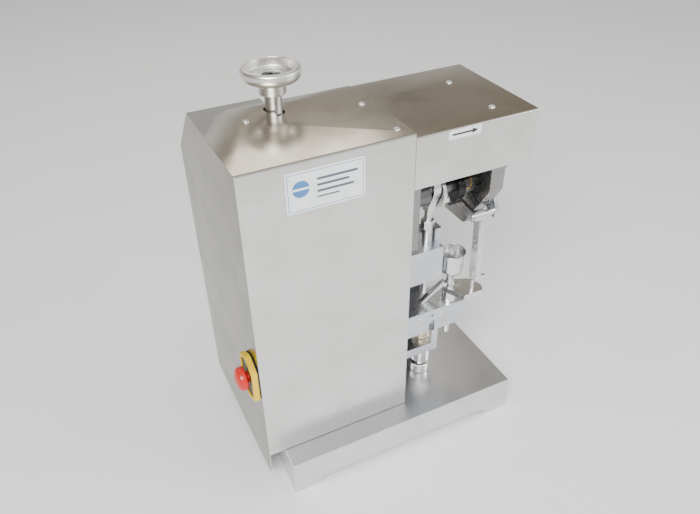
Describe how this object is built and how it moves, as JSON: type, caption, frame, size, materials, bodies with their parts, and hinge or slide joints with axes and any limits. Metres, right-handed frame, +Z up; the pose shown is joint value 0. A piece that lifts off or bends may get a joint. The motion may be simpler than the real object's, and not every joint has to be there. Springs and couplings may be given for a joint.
{
  "type": "tablet press",
  "caption": "Bench tablet press: crank-driven punch over a die table, swinging feed cup, adjusting rings, handwheel and stop button on a cast base under sheet-steel covers.",
  "frame": {"origin": "middle of the whole machine's box at floor level", "axes": "+Z up, +X to the right along the arm, +Y to the back; the front face with the label looks along -Y"},
  "size_m": [0.465, 0.338, 0.62],
  "materials": {
    "cover_steel": "brushed sheet steel, polished on top",
    "base_steel": "ground and brushed",
    "frame_iron": "dark machined iron",
    "machined_steel": "fine ground steel",
    "bright_steel": "polished steel",
    "fastener_steel": "bright screws",
    "black_steel": "blackened steel",
    "bronze": "turned bronze",
    "yellow_zinc": "pale yellow plated bolt",
    "knurled_steel": "knurled, slightly tinted",
    "wheel_alloy": "polished cast alloy",
    "motor_paint": "dark enamel",
    "label_white": "printed film",
    "black_plastic": "moulded black plastic",
    "yellow_plastic": "moulded yellow plastic",
    "red_plastic": "moulded red plastic"
  },
  "bodies": {
    "frame": {"base_casting": "base_steel", "frame_column": "frame_iron", "drive_shelf": "frame_iron", "gear_side_plate": "frame_iron", "left_cheek": "frame_iron", "right_cheek": "frame_iron", "top_beam": "frame_iron", "cover_posts": "machined_steel", "guide_block": "machined_steel", "key_block": "machined_steel", "die_table": "machined_steel", "table_block": "machined_steel", "adjuster_yoke": "machined_steel", "die": "bright_steel", "die_lock_screw": "black_steel", "table_screws": "fastener_steel", "shaft_bushes": "bronze", "feed_post": "bright_steel", "lever_bracket": "machined_steel", "lever_pivot_pin": "bright_steel", "bracket_bolts": "fastener_steel", "gearbox_housing": "frame_iron", "motor": "motor_paint", "main_cover": "cover_steel", "arm_cover": "cover_steel", "cover_screws": "fastener_steel", "front_label": "label_white", "arrow_label": "label_white", "cable_gland": "black_plastic", "stop_base": "black_plastic", "stop_lid": "yellow_plastic"},
    "stop_head": {"stop_button": "red_plastic"},
    "main_shaft": {"crankshaft": "bright_steel", "crank_bolt": "yellow_zinc", "main_gear": "black_steel", "lift_cam": "black_steel", "feed_cam": "black_steel"},
    "lay_shaft": {"layshaft": "bright_steel", "worm_wheel": "bronze", "pinion": "black_steel"},
    "hand_drive": {"worm_shaft": "bright_steel", "handwheel": "wheel_alloy", "wheel_screw": "black_steel"},
    "upper_ram": {"con_rod": "bright_steel", "locknut": "bright_steel", "plunger": "bright_steel", "upper_punch": "bright_steel"},
    "ejector": {"lower_punch": "bright_steel", "ejector_rod": "bright_steel", "lift_fork": "machined_steel", "lift_yoke": "machined_steel", "lift_roller": "black_steel"},
    "ejection_adjuster": {"ejection_ring": "knurled_steel"},
    "filling_adjuster": {"filling_ring": "knurled_steel"},
    "base_adjuster": {"base_ring": "knurled_steel"},
    "feed_shoe": {"feed_cup": "bright_steel", "feed_tube": "bright_steel", "feed_arm": "bright_steel"},
    "shoe_lever": {"feed_lever": "bright_steel", "lever_roller": "black_steel"}
  },
  "joints": [
    {"name": "main_shaft_turn", "type": "hinge", "parent": "frame", "child": "main_shaft", "pos_m": [0.0425, -0.073, 0.428], "axis": [1, 0, 0], "range_deg": [0, 180]},
    {"name": "layshaft_turn", "type": "hinge", "parent": "frame", "child": "lay_shaft", "pos_m": [-0.0535, -0.024, 0.428], "axis": [1, 0, 0], "range_deg": [-270, 10]},
    {"name": "handwheel_turn", "type": "hinge", "parent": "frame", "child": "hand_drive", "pos_m": [-0.0925, 0.026, 0.5], "axis": [0, 0, 1], "range_deg": [-10, 3150]},
    {"name": "upper_ram_slide", "type": "slide", "parent": "frame", "child": "upper_ram", "axis": [0, 0, 1], "range_m": [-0.0221, 0.0001]},
    {"name": "ejector_slide", "type": "slide", "parent": "frame", "child": "ejector", "axis": [0, 0, 1], "range_m": [-0.0081, 0.0001]},
    {"name": "feed_shoe_swing", "type": "hinge", "parent": "frame", "child": "feed_shoe", "pos_m": [0.1435, -0.086, 0.24], "axis": [0, 0, 1], "range_deg": [-0.2, 28.2]},
    {"name": "shoe_lever_swing", "type": "hinge", "parent": "frame", "child": "shoe_lever", "pos_m": [0.1665, -0.112, 0.389], "axis": [1, 0, 0], "range_deg": [-0.2, 7.27]},
    {"name": "ejection_ring_turn", "type": "hinge", "parent": "frame", "child": "ejection_adjuster", "pos_m": [0.1025, -0.073, 0.158], "axis": [0, 0, 1], "continuous": true},
    {"name": "filling_ring_turn", "type": "hinge", "parent": "frame", "child": "filling_adjuster", "pos_m": [0.1025, -0.073, 0.11], "axis": [0, 0, 1], "continuous": true},
    {"name": "base_ring_turn", "type": "hinge", "parent": "frame", "child": "base_adjuster", "pos_m": [0.1025, -0.073, 0.075], "axis": [0, 0, 1], "continuous": true},
    {"name": "stop_button_push", "type": "slide", "parent": "frame", "child": "stop_head", "axis": [1, 0, 0], "range_m": [0, 0.004], "stiffness_N_per_m": 600}
  ],
  "couplings": [
    {"joint": "layshaft_turn", "follows": "main_shaft_turn", "ratio": -1.45},
    {"joint": "handwheel_turn", "follows": "main_shaft_turn", "ratio": 17.4},
    {"joint": "upper_ram_slide", "follows": "main_shaft_turn", "m_per_rad": -0.0070028},
    {"joint": "ejector_slide", "follows": "main_shaft_turn", "m_per_rad": -0.0025465},
    {"joint": "feed_shoe_swing", "follows": "main_shaft_turn", "ratio": 0.15556},
    {"joint": "shoe_lever_swing", "follows": "main_shaft_turn", "ratio": 0.039278}
  ]
}
